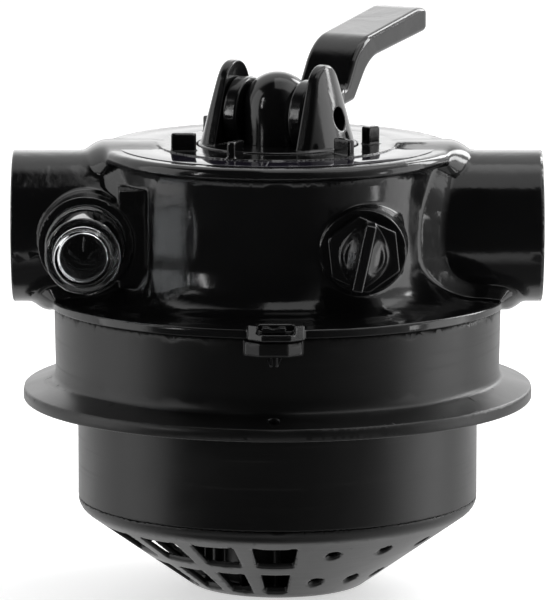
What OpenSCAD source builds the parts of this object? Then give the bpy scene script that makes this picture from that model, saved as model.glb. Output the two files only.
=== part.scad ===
// Top-mount multiport valve for a sand filter: upper housing with three side ports, lever handle and
// rotor, neck with a clamp flange, and a slotted diffuser. +Z is up and the origin is the centre of the
// standpipe socket's mouth, on the bottom face. Lengths are in millimetres.

/* [Flange and neck] */
// Radius of the clamp flange rim
flange_r = 111; // [108:0.5:114]
// Thickness of the flange rim
flange_t = 5.3; // [4.5:0.1:6]
// Height of the flange's flat underside, the tank seat
flange_z = 82.7; // [81:0.1:84]
// Radius of the neck just above the flange
neck_r = 96.7; // [96.2:0.1:97.2]
// Radius of the plain cylinder below the flange
lower_r = 87.25; // [87:0.05:87.5]
// Height of the neck's top edge
neck_top = 124.5; // [124.2:0.1:124.5]

/* [Diffuser] */
// Height of the joint line between the neck and the diffuser
parting_z = 39.5; // [39:0.1:40]
// Slope of the diffuser cone, in degrees
cone_slope = 35.5; // [35:0.1:36]
// Number of window columns round the cone
columns = 18; // [16:2:18]
// Columns that have wide windows; the others have round holes
wide_columns = 9; // [1:1:12]

/* [Housing] */
// Radius of the base disc's rim
rim_r = 100; // [99:0.5:101]
// Radius of the drum at its waist
drum_r = 72.3; // [72:0.1:72.8]
// Height of the position label's face
label_z = 193.7; // [193.5:0.1:193.9]
// Height of the port centres
port_z = 158; // [158:0.1:158.3]
// Outside radius of a port
port_r = 33.2; // [32.8:0.1:33.2]
// Distance from the valve's axis to a port's end
port_reach = 115; // [113:0.5:117]
// Radius of the solvent-weld sockets, for 1-1/2 inch pipe
socket_r = 24.25; // [24.2:0.01:24.4]
// Depth of the port sockets
socket_depth = 30; // [28:0.5:31]

/* [Sight glass and plug] */
// Distance of the sight glass's axis left of the centre
glass_x = 82; // [81:0.5:83]
// Distance of the sight glass's face from the valve's centre plane
glass_reach = 87; // [86:0.5:90]
// Distance of the plug's axis right of the centre
plug_x = 36.5; // [35.5:0.5:37.5]
// Width of the plug's hexagon across its flats
plug_hex = 29; // [27:0.5:30]
// Tilt of the plug's hexagon, in degrees
hex_tilt = 6; // [0:1:30]
// Tilt of the plug's finger wing, in degrees
wing_tilt = 12; // [0:1:30]

/* [Handle] */
// Direction of the lever, in degrees from +X
lever_azimuth = 64; // [60:1:68]
// Distance from the valve's axis to the grip's end
lever_reach = 134; // [128:1:138]
// Width of the lever
lever_w = 24.5; // [22:0.5:26]
// Radius of the round-topped stem
stem_r = 15; // [14.8:0.1:15]

/* [Hidden] */
$fn = 96;
black = [0.04, 0.04, 0.045];
charcoal = [0.11, 0.11, 0.12];
rubber_black = [0.02, 0.02, 0.02];
steel = [0.7, 0.7, 0.72];

// Heights inside the housing
base_z = neck_top + 0.3;          // underside of the base disc
seal_z = 118.3;                   // foot of the drum wall, on the port plate
roof_z = 184;                     // underside of the drum's top wall
face_z = label_z - 0.3;           // the seat that the label lies on
disc_z = label_z + 0.35;          // face of the raised disc inside the label
recess_z = 190.4;                 // floor of the yoke's recess
lip_z = 188.8;                    // underside of the lip round the drum's top
lip_r = 77.4;
label_r = 69.9;
disc_r = 52;
recess_r = 35;
chamber_r = 66;
stem_bore_r = 11.08;
guide_r = 24;                     // the stem's guide, which hangs from the roof
guide_z = 168;
skirt_in = 86.2;                  // the skirt under the base disc, which the port plate is glued into
duct_in = 75;                     // the ducts that turn the side ports down into the neck
duct_out = 84;
duct_half = 17;
washer_t = 0.5;
skirt_z = 110.4;                  // lower edge of the skirt
neck_bore_r = 91;
pin_at = [-1.5, -103];            // the lock pin's axis
pin_hole_r = 2.4;
tab_t = 6.6;                      // thickness of the tab on the base disc
boss_r = 20.5;                    // radius of the sight glass's boss

// Handle linkage, in the lever's own plane: x is along the lever, z is the height
yoke_z = recess_z + washer_t + 0.05;
yoke_top = 194.6;
yoke_r = recess_r - 0.5;
stem_pin_z = 206.5;
stem_pin_r = 4;
dome_z = 210.5;                   // centre of the stem's round top
stem_foot = 191.6;                // where the stem widens, inside the yoke's ring
ear_in = 19.4;                    // distance of the ears' inner faces from the lever's plane
ear_foot_r = 34.1;                // the ears' outer faces are one cone about the valve's axis
ear_top = 231;
ear_top_r = 24;
ear_foot = 22.5;                  // half the width of an ear where it leaves the ring
ear_crown = [0, 217];
ear_crown_r = 12.5;
ear_hole_r = 5;                   // the stem pin goes in through it
arm_in = 12.35;                   // the fork arms' inner and outer faces
arm_out = 19;
fork_r = 16;
fork_foot = 195.1;                // flat foot of the fork, whose heel bears on the ring
fork_back = 17.5;                 // end of the gap between the arms
lever_wall = 3;

// Rotor stack
plate_z = 110;
plate_top = 118.2;
gasket_top = 120.6;
rotor_z = gasket_top + 0.1;
rotor_top = 150;
spring_r = 30.5;
spring_wire = 2.2;
spring_turns = 5;

socket_wall = 3.65;
pipe_r = 20.4;                    // bore behind the sockets
standpipe_r = 24.35;
glass_z = 157;
boss_y = 48;                      // face of the sight glass boss
glass_bore_r = 14.1;
glass_flange_r = 17.3;
plug_z = 157.2;
plug_face = 71;                   // face of the plug boss
thread_r = 10.5;
post_w = 3.6;
post_h = 7;
tall_post_h = 7.7;                 // the pressed lever passes over it
// Directions of the index posts that stand radially
post_azimuths = [128, 247, 308];

// ---- Outlines -------------------------------------------------------------------------------------

function unit(v) = v / norm(v);
function flat(p) = [p[0], p[1]];
// Points of an arc about c, from angle a0 to angle a1
function arc(c, r, a0, a1, n = 8) =
    [for (i = [0:n]) let (a = a0 + (a1 - a0) * i / n) c + r * [cos(a), sin(a)]];
// A corner at b, between its neighbours a and c, rounded to radius r
function corner(a, b, c, r, n) =
    let (u = unit(a - b), w = unit(c - b), half = acos(u * w) / 2,
         centre = b + unit(u + w) * r / sin(half),
         s = b + u * r / tan(half) - centre, e = b + w * r / tan(half) - centre,
         a0 = atan2(s[1], s[0]), turn = (atan2(e[1], e[0]) - a0 + 540) % 360 - 180)
    arc(centre, r, a0, a0 + turn, n);
// An outline from points [x, y, corner radius]
function rounded(p, n = 6) =
    [for (i = [0:len(p) - 1])
        let (a = p[(i + len(p) - 1) % len(p)], b = p[i], c = p[(i + 1) % len(p)])
        each (b[2] == 0 ? [flat(b)] : corner(flat(a), flat(b), flat(c), b[2], n))];

// ---- Shared shapes --------------------------------------------------------------------------------

module ring(r_out, r_in, z0, z1) {
    translate([0, 0, z0])
        difference() {
            cylinder(r = r_out, h = z1 - z0);
            translate([0, 0, -1]) cylinder(r = r_in, h = z1 - z0 + 2);
        }
}

module o_ring(r_mid, r_cord, z) {
    translate([0, 0, z]) rotate_extrude() translate([r_mid, 0]) circle(r = r_cord, $fn = 24);
}

// Puts its children on an axis that points out of the front, so that local z is the distance forwards
module on_front(x, z) {
    translate([x, 0, z]) rotate([90, 0, 0]) children();
}

// Puts its children on a port's axis: local z is the distance from the valve's axis
module on_port(azimuth) {
    translate([0, 0, port_z]) rotate([0, 0, azimuth]) rotate([0, 90, 0]) children();
}

// Turns its children into the lever's plane: local x is along the lever, local y is across it
module in_lever_frame() {
    rotate([0, 0, lever_azimuth]) children();
}

// A plate between y0 and y1 with its outline in the x-z plane
module side_plate(y0, y1) {
    translate([0, y1, 0]) rotate([90, 0, 0]) linear_extrude(y1 - y0) children();
}

// A pin across the lever's plane
module cross_pin(x, z, r, y0, y1) {
    translate([x, y1, z]) rotate([90, 0, 0]) cylinder(r = r, h = y1 - y0, $fn = 64);
}

// ---- Upper housing --------------------------------------------------------------------------------

module drum_solid() {
    skirt_out = 90.7;
    waist = [[drum_r, lip_z - 1.4, 1.5], [lip_r, lip_z, 0.8], [lip_r, face_z, 3.6]];
    rotate_extrude()
        polygon(rounded(concat(
            [[0, seal_z, 0], [70.5, seal_z, 0], [70.5, base_z, 0], [skirt_in, base_z, 0],
             [skirt_in, skirt_z, 0], [skirt_out, skirt_z, 0], [skirt_out, base_z, 0],
             [rim_r, base_z, 0], [rim_r, base_z + 3.8, 1.2], [93.5, base_z + 4.8, 0],
             [drum_r + 0.3, base_z + 6, 19]],
            waist,
            [[disc_r, face_z, 0], [disc_r, disc_z, 0.2], [0, disc_z, 0]])));
}

module index_post(azimuth) {
    rotate([0, 0, azimuth])
        translate([41.1, -post_w / 2, disc_z - 0.5]) cube([10.4, post_w, post_h + 0.5]);
}

// The two tall posts: one square to the front, one turned
module tall_posts() {
    translate([-45.8, -24.5, disc_z - 0.5]) cube([10.8, post_w, tall_post_h + 0.5]);
    translate([39.4, -5.2, disc_z - 0.5]) rotate([0, 0, 40]) cube([6.8, 5, tall_post_h + 0.5]);
}

// The tab that the lock pin passes through, with a recess for the pin's head
module front_tab() {
    difference() {
        translate([0, 0, base_z]) linear_extrude(tab_t)
            polygon([[-12.5, -96], [-12.5, -103], [-6.5, -108], [5.5, -108], [11.5, -103], [11.5, -96]]);
        translate([-8, -109, base_z + 3.2]) cube([15, 9, 5]);
    }
}

module port_body() color(black) {
    difference() {
        union() {
            drum_solid();
            for (a = [0, 90, 180]) on_port(a)
                translate([0, 0, 60]) cylinder(r = port_r, h = port_reach - 60);
            on_front(-glass_x, glass_z) translate([0, 0, 20]) cylinder(r = boss_r, h = boss_y - 20);
            translate([-72, 1 - boss_y, 137.5]) cube([16, 22, 42.5]);
            on_front(plug_x, plug_z)
                translate([0, 0, 50]) cylinder(r1 = 19.6, r2 = 18.3, h = plug_face - 50);
            for (a = post_azimuths) index_post(a);
            tall_posts();
            front_tab();
        }
        // chamber above the port plate, with the stem's guide hanging from its roof
        rotate_extrude()
            polygon([[0, seal_z - 1], [chamber_r, seal_z - 1], [chamber_r, roof_z - 4],
                     [chamber_r - 4, roof_z], [guide_r, roof_z], [guide_r, guide_z], [0, guide_z]]);
        translate([0, 0, guide_z - 8]) cylinder(r = stem_bore_r, h = 40);
        translate([0, 0, recess_z]) cylinder(r = recess_r, h = 10);
        // groove for the seal on the skirt
        ring(92, 88.6, 114, 117.6);
        for (a = [0, 90, 180]) on_port(a)
            translate([0, 0, port_reach - socket_depth]) cylinder(r = socket_r, h = socket_depth + 1);
        // the pump port opens into the chamber; the others turn down into the neck
        on_port(90) translate([0, 0, 50]) cylinder(r = pipe_r, h = port_reach - 50);
        for (a = [0, 180]) {
            on_port(a) translate([0, 0, 75]) cylinder(r = pipe_r, h = 20);
            rotate([0, 0, a]) translate([duct_in, -duct_half, 117])
                cube([duct_out - duct_in, 2 * duct_half, port_z - 117]);
        }
        on_front(-glass_x, glass_z) {
            translate([0, 0, 15]) cylinder(r = 7.5, h = 40);
            translate([0, 0, 40]) cylinder(r = glass_bore_r, h = 10);
            translate([0, 0, boss_y]) cylinder(r = glass_flange_r + 0.5, h = 10);
        }
        on_front(plug_x, plug_z) {
            translate([0, 0, 50]) cylinder(r = thread_r, h = 30);
            translate([0, 0, plug_face - 2.2]) cylinder(r = 14, h = 5);
        }
        translate([pin_at[0], pin_at[1], 120]) cylinder(r = pin_hole_r, h = 20, $fn = 32);
    }
}

module label_plate() color([0.06, 0.055, 0.08]) {
    ring(label_r, disc_r + 0.3, face_z, label_z);
}

// ---- Handle group ---------------------------------------------------------------------------------

module yoke_washer() color([0.9, 0.9, 0.88]) {
    ring(34, 16, recess_z, recess_z + washer_t);
}

// An ear's outline seen along the stem pin: a round crown on a wide foot
module ear_outline() {
    drop = ear_crown[1] - yoke_top;
    reach = norm([ear_foot, drop]);
    tangent = acos(ear_crown_r / reach) - atan2(drop, ear_foot);
    polygon(concat([[ear_foot, yoke_z + 1], [ear_foot, yoke_top]],
                   arc(ear_crown, ear_crown_r, tangent, 180 - tangent, 12),
                   [[-ear_foot, yoke_top], [-ear_foot, yoke_z + 1]]));
}

module ear() {
    difference() {
        intersection() {
            side_plate(ear_in, ear_foot_r + 1) ear_outline();
            rotate_extrude()
                polygon([[0, yoke_z], [ear_foot_r, yoke_z], [ear_foot_r, yoke_z + 1], [ear_top_r, ear_top],
                         [0, ear_top]]);
        }
        cross_pin(0, stem_pin_z, ear_hole_r, ear_in - 1, ear_foot_r + 1);
    }
}

module yoke() color(black) {
    in_lever_frame() {
        ring(yoke_r, stem_r + 0.4, yoke_z, yoke_top);
        for (s = [0, 1]) mirror([0, s, 0]) ear();
    }
}

// The lever from the side: a round fork with a flat foot, a neck that climbs, and a long grip
module handle_outline() {
    grip_t = 9.3;
    intersection() {
        translate([0, stem_pin_z]) circle(r = fork_r);
        translate([-fork_r - 1, fork_foot]) square(3 * fork_r);
    }
    polygon(rounded([
        [0, fork_foot, 0], [19, fork_foot, 2], [26.5, 204, 3], [53.5, 207.2, 3], [69.1, 223.9, 26],
        [lever_reach, 230.6, 3], [lever_reach, 230.6 + grip_t, 4.5], [lever_reach - 12, 241.1, 20],
        [59.3, 233.1, 26.8], [45.2, 213.4, 6], [26, 213, 10], [9, 219.7, 0], [0, stem_pin_z, 0]]));
}

// The lever seen from above: a fork round the stem, then a plain bar
module handle_plan() {
    half = lever_w / 2;
    right = [[-fork_r - 1, arm_in, 0], [-fork_r - 1, arm_out, 0], [24, arm_out, 5], [41, half, 8],
             [lever_reach, half, 8]];
    polygon(rounded(concat(
        right, [for (i = [4:-1:0]) [right[i][0], -right[i][1], right[i][2]]],
        [[fork_back, -arm_in, 0], [fork_back, arm_in, 0]])));
}

module handle() color(black) {
    core = lever_w / 2 - lever_wall;
    core_end = lever_reach - 4;
    in_lever_frame()
        difference() {
            intersection() {
                side_plate(-arm_out, arm_out) handle_outline();
                translate([0, 0, 190]) linear_extrude(60) handle_plan();
            }
            // cored out from below, so that the walls are even
            side_plate(-core, core)
                polygon([[42, 190], [42, 209.6], [47.5, 211.4], [54.5, 221.2], [62, 228.2], [72, 231.5],
                         [lever_reach - 12, 237.9], [core_end, 237], [core_end, 190]]);
            cross_pin(0, stem_pin_z, stem_pin_r + 0.1, -20, 20);
        }
}

// ---- Stem and rotor -------------------------------------------------------------------------------

module stem() color(black) {
    in_lever_frame()
        difference() {
            union() {
                intersection() {
                    union() {
                        translate([0, 0, stem_foot]) cylinder(r = stem_r, h = dome_z - stem_foot);
                        translate([0, 0, dome_z]) sphere(r = stem_r);
                    }
                    translate([-20, 0.35 - arm_in, 190]) cube([40, 2 * (arm_in - 0.35), 40]);
                }
                translate([0, 0, 130]) cylinder(r = stem_bore_r - 0.06, h = stem_foot - 129);
            }
            ring(12, 9.4, 173.6, 176.4);
            ring(12, 9.4, 178.8, 181.6);
            cross_pin(0, stem_pin_z, stem_pin_r, -20, 20);
            translate([0, 0, 120]) cylinder(r = 3.2, h = 28, $fn = 32);
        }
}

module stem_pin() color(steel) {
    in_lever_frame() cross_pin(0, stem_pin_z, stem_pin_r, 0.1 - arm_out, arm_out - 0.1);
}

module stem_o_rings() color(rubber_black) {
    for (z = [175, 180.2]) o_ring(10.2, 0.8, z);
}

module rotor() color([0.75, 0.76, 0.78]) {
    hub_r = 14;
    difference() {
        union() {
            translate([0, 0, rotor_z]) cylinder(r = 63.5, h = 7);
            ring(34, 27, rotor_z, rotor_top);
            translate([0, -18, rotor_z]) cube([60, 36, 22]);
            translate([0, 0, rotor_z]) cylinder(r = 28, h = 24);
        }
        // the bridging chamber, open below, from the middle to one sector
        difference() {
            union() {
                translate([0, -14, rotor_z - 1]) cube([56, 28, 19]);
                translate([0, 0, rotor_z - 1]) cylinder(r = 20, h = 19);
            }
            translate([0, 0, rotor_z - 2]) cylinder(r = hub_r, h = 30);
        }
        // the open window on the other side
        intersection() {
            ring(59, 37, rotor_z - 1, rotor_z + 9);
            translate([-70, -24, rotor_z - 1]) cube([60, 48, 10]);
        }
        translate([0, 0, 130]) cylinder(r = stem_bore_r - 0.06, h = 30);
        translate([0, 0, rotor_z - 1]) cylinder(r = 3.4, h = 20, $fn = 32);
        translate([0, 0, rotor_z - 1]) cylinder(r = 7.2, h = 5.6, $fn = 48);
    }
}

module rotor_screw() color(steel) {
    difference() {
        union() {
            translate([0, 0, rotor_z + 0.6]) cylinder(r = 6.8, h = 4, $fn = 48);
            translate([0, 0, rotor_z + 4]) cylinder(r = 3.15, h = 20, $fn = 32);
        }
        translate([0, 0, rotor_z]) cylinder(r = 2.9, h = 2.8, $fn = 6);
    }
}

// One tube swept along the spring's helix
module rotor_spring() color(steel) {
    sides = 8;
    steps = 16;
    n = spring_turns * steps;
    z0 = rotor_top + spring_wire + 0.05;
    z1 = roof_z - 1.25 - spring_wire;
    pts = [for (i = [0:n]) let (a = 360 * i / steps, z = z0 + (z1 - z0) * i / n)
           for (k = [0:sides - 1]) let (b = 360 * k / sides, r = spring_r + spring_wire * cos(b))
               [r * cos(a), r * sin(a), z + spring_wire * sin(b)]];
    skin = [for (i = [0:n - 1]) for (k = [0:sides - 1])
            let (j = (k + 1) % sides)
            [i * sides + k, i * sides + j, (i + 1) * sides + j, (i + 1) * sides + k]];
    polyhedron(pts, concat([[for (k = [sides - 1:-1:0]) k]], skin,
                                   [[for (k = [0:sides - 1]) n * sides + k]]));
}

module spring_washer() color(steel) {
    ring(35, 26.5, roof_z - 1.2, roof_z);
}

module spider_gasket() color(rubber_black) {
    ring(64, 60, plate_top, gasket_top);
    difference() {
        union() {
            translate([0, 0, plate_top]) cylinder(r = 25, h = gasket_top - plate_top);
            for (a = [0:60:300]) rotate([0, 0, a + 30])
                translate([22, -1.6, plate_top]) cube([39, 3.2, gasket_top - plate_top]);
        }
        translate([0, 0, plate_top - 1]) cylinder(r = 20.6, h = 5);
    }
}

module port_plate() color(charcoal) {
    difference() {
        union() {
            translate([0, 0, plate_z]) cylinder(r = skirt_in - 0.1, h = plate_top - plate_z);
            translate([0, 0, 46]) cylinder(r = standpipe_r - 0.15, h = plate_z - 45);
            ring(68, 65, 92, plate_z + 1);
            for (a = [0:60:300]) rotate([0, 0, a + 30])
                translate([22, -1.5, 92]) cube([57, 3, plate_z - 91]);
        }
        translate([0, 0, 40]) cylinder(r = pipe_r, h = 90);
        for (a = [0:60:300]) rotate([0, 0, a])
            intersection() {
                ring(59, 27, plate_z - 1, plate_top + 1);
                translate([0, 0, plate_z - 2]) linear_extrude(20)
                    polygon([[0, 0], [80, -42], [80, 42]]);
            }
        // notches under the ducts, open at the rim
        for (a = [0, 180]) rotate([0, 0, a])
            translate([duct_in, -duct_half, plate_z - 1]) cube([20, 2 * duct_half, 20]);
    }
}

module body_o_ring() color(rubber_black) {
    o_ring(89.8, 1.15, 115.8);
}

// ---- Neck and diffuser ----------------------------------------------------------------------------

module neck_flange() color(charcoal) {
    top_slope = 18;
    toe = neck_r + 2.6;
    difference() {
        union() {
            rotate_extrude()
                polygon(rounded([
                    [lower_r - 4, parting_z, 0], [lower_r, parting_z, 0], [lower_r, flange_z, 0],
                    [flange_r, flange_z, 0.8], [flange_r, flange_z + flange_t, 0.8],
                    [toe - 2.5, flange_z + flange_t + (flange_r - toe + 2.5) * tan(top_slope), 3.5],
                    [neck_r + 0.7, neck_top, 0.5], [neck_bore_r, neck_top, 0], [neck_bore_r, 95, 0],
                    [lower_r - 4, 86, 0]]));
            translate([0, 0, 118]) linear_extrude(6.3)
                polygon([[-13.8, -93], [-13.8, -102.5], [-7.5, -107], [4.5, -107], [10.3, -102.5],
                         [10.3, -93]]);
        }
        translate([-20, -95, 110]) cube([40, 10, 20]);
        translate([pin_at[0], pin_at[1], 110]) cylinder(r = pin_hole_r, h = 20, $fn = 32);
        ring(103, 99, flange_z - 1, flange_z + 2.4);
    }
    // restore the neck wall behind the tab
    intersection() {
        ring(neck_r + 0.5, neck_bore_r, 110, neck_top);
        translate([-20, -97, 110]) cube([40, 12, 20]);
    }
}

module flange_o_ring() color(rubber_black) {
    o_ring(101, 1.2, flange_z + 1.2);
}

// One wide window: a ring sector between two radii
module window(r0, r1, half) {
    translate([0, 0, -1]) linear_extrude(38)
        polygon(concat(arc([0, 0], r1, -half, half, 3), arc([0, 0], r0, half, -half, 3)));
}

module diffuser() color(charcoal) {
    wall = 3;
    knee = 7.5;
    toe_r = 8;
    toe_x = 34.64;
    spigot_r = 83.1;                  // the spigot that fits inside the neck
    spigot_in = 80.1;
    spigot_top = 50;
    hole_r = 3.2;
    first = -90.8;                    // direction of the first column
    step = 360 / columns;
    difference() {
        union() {
            rotate_extrude()
                polygon(concat(
                    [[26, 0]], arc([toe_x, toe_r], toe_r, -90, cone_slope - 90, 4),
                    arc([lower_r - knee, parting_z], knee, cone_slope - 90, 0, 6),
                    [[spigot_r, parting_z], [spigot_r, spigot_top], [spigot_in, spigot_top],
                     [spigot_in, parting_z - 0.9]],
                    arc([lower_r - knee, parting_z], knee - wall, -20, cone_slope - 90, 3),
                    arc([toe_x, toe_r], toe_r - wall, cone_slope - 90, -90, 4), [[26, wall]]));
            cylinder(r = standpipe_r + socket_wall, h = 52);
            for (i = [0:11]) rotate([0, 0, 30 * i]) translate([26, -1, 1]) cube([6, 2, 45]);
        }
        translate([0, 0, -1]) cylinder(r = standpipe_r, h = 60);
        ring(26.6, 20, 31, 34.4);
        for (i = [0:columns - 1]) rotate([0, 0, first - step * i])
            if (i < wide_columns) {
                window(63.5, 79, 7);
                window(41.5, 57, 6.2);
            } else {
                for (r = [50, 72.5]) translate([r, 0, -1]) cylinder(r = hole_r, h = 38, $fn = 32);
            }
    }
}

module standpipe_seal() color(rubber_black) {
    o_ring(25.6, 1, 32.7);
}

// ---- Fittings -------------------------------------------------------------------------------------

module lock_pin() color(black) {
    translate([pin_at[0], pin_at[1], 0]) {
        translate([-5.2, -3, base_z + 3.3]) cube([10.4, 5.2, 2.6]);
        difference() {
            translate([0, 0, 114]) cylinder(r = 2.3, h = 15, $fn = 32);
            translate([-0.6, -5, 112]) cube([1.2, 10, 10]);
        }
        for (s = [0, 1]) mirror([s, 0, 0]) side_plate(-1.6, 1.6)
            polygon([[1, 117.7], [3.4, 117.7], [2.8, 116.2], [1.4, 113.6], [0.8, 113.6]]);
    }
}

module sight_glass() color([0.85, 0.9, 0.92, 0.4]) {
    on_front(-glass_x, glass_z)
        rotate_extrude()
            polygon(rounded([[11.4, 41, 0], [12.3, 41, 0], [12.3, 44.2, 0], [13.9, 44.2, 0],
                             [13.9, boss_y, 0], [glass_flange_r, boss_y, 0], [glass_flange_r, 54, 1.2],
                             [16.6, 55, 0], [16.3, 81.5, 2], [12.8, 82.2, 0.6],
                             [12.4, glass_reach, 1.6], [0, glass_reach, 0], [0, glass_reach - 3.2, 0],
                             [10.4, glass_reach - 3.2, 2], [12.2, 78, 2]]));
}

module sight_glass_o_ring() color(rubber_black) {
    on_front(-glass_x, glass_z) o_ring(13.2, 0.8, 43.3);
}

module plug() color(black) {
    on_front(plug_x, plug_z) {
        translate([0, 0, 56.5]) cylinder(r = thread_r - 0.06, h = 16);
        translate([0, 0, plug_face + 0.35]) rotate([0, 0, 30 + hex_tilt])
            cylinder(r = plug_hex / 2 / cos(30), h = 8.6, $fn = 6);
        translate([0, 0, 79.8]) cylinder(r1 = 10.4, r2 = 8.4, h = 4);
        rotate([0, 0, -wing_tilt]) translate([-2.3, -plug_hex / 2, 79.8]) cube([4.6, plug_hex, 11.2]);
    }
}

module plug_o_ring() color(rubber_black) {
    on_front(plug_x, plug_z) o_ring(12.2, 0.8, 70);
}

port_body();
label_plate();
yoke_washer();
yoke();
handle();
stem();
stem_pin();
stem_o_rings();
rotor();
rotor_screw();
rotor_spring();
spring_washer();
spider_gasket();
port_plate();
body_o_ring();
neck_flange();
flange_o_ring();
diffuser();
standpipe_seal();
lock_pin();
sight_glass();
sight_glass_o_ring();
plug();
plug_o_ring();
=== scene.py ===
"""Looks for the top-mount multiport valve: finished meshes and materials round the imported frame.

Lengths are in millimetres inside this script and become metres where a mesh is made.
"""
import math

import bmesh
import bpy
import numpy as np
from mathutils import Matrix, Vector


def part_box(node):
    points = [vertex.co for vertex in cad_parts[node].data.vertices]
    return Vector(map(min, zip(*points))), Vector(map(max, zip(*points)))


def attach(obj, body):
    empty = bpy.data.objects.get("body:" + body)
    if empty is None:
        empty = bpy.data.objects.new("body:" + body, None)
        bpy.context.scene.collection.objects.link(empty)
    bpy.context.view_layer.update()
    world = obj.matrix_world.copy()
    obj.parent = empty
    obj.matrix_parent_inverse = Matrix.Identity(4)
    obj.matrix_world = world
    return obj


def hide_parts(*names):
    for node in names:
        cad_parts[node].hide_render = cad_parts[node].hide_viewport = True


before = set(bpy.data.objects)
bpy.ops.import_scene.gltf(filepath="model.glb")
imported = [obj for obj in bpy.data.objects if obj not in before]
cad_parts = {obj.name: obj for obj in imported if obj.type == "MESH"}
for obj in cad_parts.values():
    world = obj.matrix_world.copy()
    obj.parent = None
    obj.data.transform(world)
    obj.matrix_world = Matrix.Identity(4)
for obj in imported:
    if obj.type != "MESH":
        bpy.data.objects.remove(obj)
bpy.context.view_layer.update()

import openvdb
from mathutils import Matrix, Vector

MM = 0.001
FULL_TURN = 2 * math.pi

# ---- Places and sizes, from the frame where a node's box says them --------------------------------


def box_mm(node):
    """A node's lowest and highest corner, in millimetres."""
    low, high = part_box(node)
    return np.array(low) / MM, np.array(high) / MM


neck_low, neck_high = box_mm("neck_flange")
glass_low, glass_high = box_mm("sight_glass")
plug_low, plug_high = box_mm("plug")
label_low, label_high = box_mm("label_plate")

# the three ports
PORT_REACH = box_mm("port_body")[1][0]
PORT_Z = 158.0
PORT_R = 33.2
PORT_WEB = 6.5
SOCKET_R = 24.25
SOCKET_DEPTH = 30.0
PIPE_R = 20.4

# the neck, the diffuser under it and the joint with the port body above it
FLANGE_R = neck_high[0]
FLANGE_Z = 82.7
FLANGE_TOP = 88.0
FLANGE_SLOPE = math.radians(18)
NECK_R = 96.7
NECK_TOP = 124.5
LOWER_R = 87.25
PARTING_Z = neck_low[2]
BASE_Z = NECK_TOP + 0.3

# the port body's rim, the skirt that goes into the neck, and the drum
RIM_R = 100.0
SKIRT_IN = 86.2
SKIRT_OUT = 90.7
SKIRT_FOOT = 110.4
DRUM_R = 72.2
DRUM_FOOT_R = 70.5
DRUM_FOOT = 118.3

# the drum's top: lip, label, raised disc and the yoke's recess
LIP_R = 77.4
LIP_Z = 188.8
FACE_Z = label_low[2]
LABEL_Z = label_high[2]
LABEL_R = 69.9
DISC_Z = LABEL_Z + 0.35
DISC_R = 52.0
RECESS_Z = 190.4
RECESS_R = 35.0

# the sight glass and the plug, on the front
GLASS_X = (glass_low[0] + glass_high[0]) / 2
GLASS_Z = (glass_low[2] + glass_high[2]) / 2
GLASS_REACH = -glass_low[1]
PLUG_X = (plug_low[0] + plug_high[0]) / 2
PLUG_Z = (plug_low[2] + plug_high[2]) / 2
PLUG_PITCH = 1.814

# the lock pin's hole through both front tabs
PIN_X = -1.5
PIN_Y = -103.0
PIN_HOLE_R = 2.4

# the lever group
LEVER_AZIMUTH = math.radians(64)
STEM_PIN_Z = 206.5
STEM_R = 11.02

# ---- Distance fields ------------------------------------------------------------------------------
# A field takes coordinate arrays and gives the signed distance to a surface, negative inside.


def union(a, b, blend=0.0):
    """Both shapes, with a fillet of about the blend where they meet."""
    if blend <= 0:
        return np.minimum(a, b)
    h = np.clip(0.5 + 0.5 * (b - a) / blend, 0, 1)
    return b + (a - b) * h - blend * h * (1 - h)


def carve(a, b, blend=0.0):
    """a without b, with the edge between them rounded over."""
    return -union(-a, b, blend)


def common(a, b, blend=0.0):
    """Where both shapes are, with the edge between them rounded over."""
    return -union(-a, -b, blend)


def slab(along, low, high):
    """Everything between two planes."""
    return np.abs(along - (low + high) / 2) - (high - low) / 2


def rounded_pair(a, b, edge):
    """The overlap of two shapes, given by their distances, with a true round edge."""
    a, b = a + edge, b + edge
    return np.minimum(np.maximum(a, b), 0) + np.hypot(np.maximum(a, 0), np.maximum(b, 0)) - edge


def disc(radial, along, r, low, high, edge=0.5):
    """A cylinder from low to high along its axis."""
    return rounded_pair(radial - r, slab(along, low, high), edge)


def block(x, y, z, low, high, edge=0.5):
    """A box with round edges."""
    d = [slab(c, a, b) + edge for c, a, b in zip((x, y, z), low, high)]
    outside = np.sqrt(sum(np.maximum(c, 0) ** 2 for c in d))
    return np.minimum(np.maximum(np.maximum(d[0], d[1]), d[2]), 0) + outside - edge


def turned_about(x, y, angle):
    """Coordinates along and across a direction at that angle."""
    c, s = math.cos(angle), math.sin(angle)
    return x * c + y * s, y * c - x * s


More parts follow.
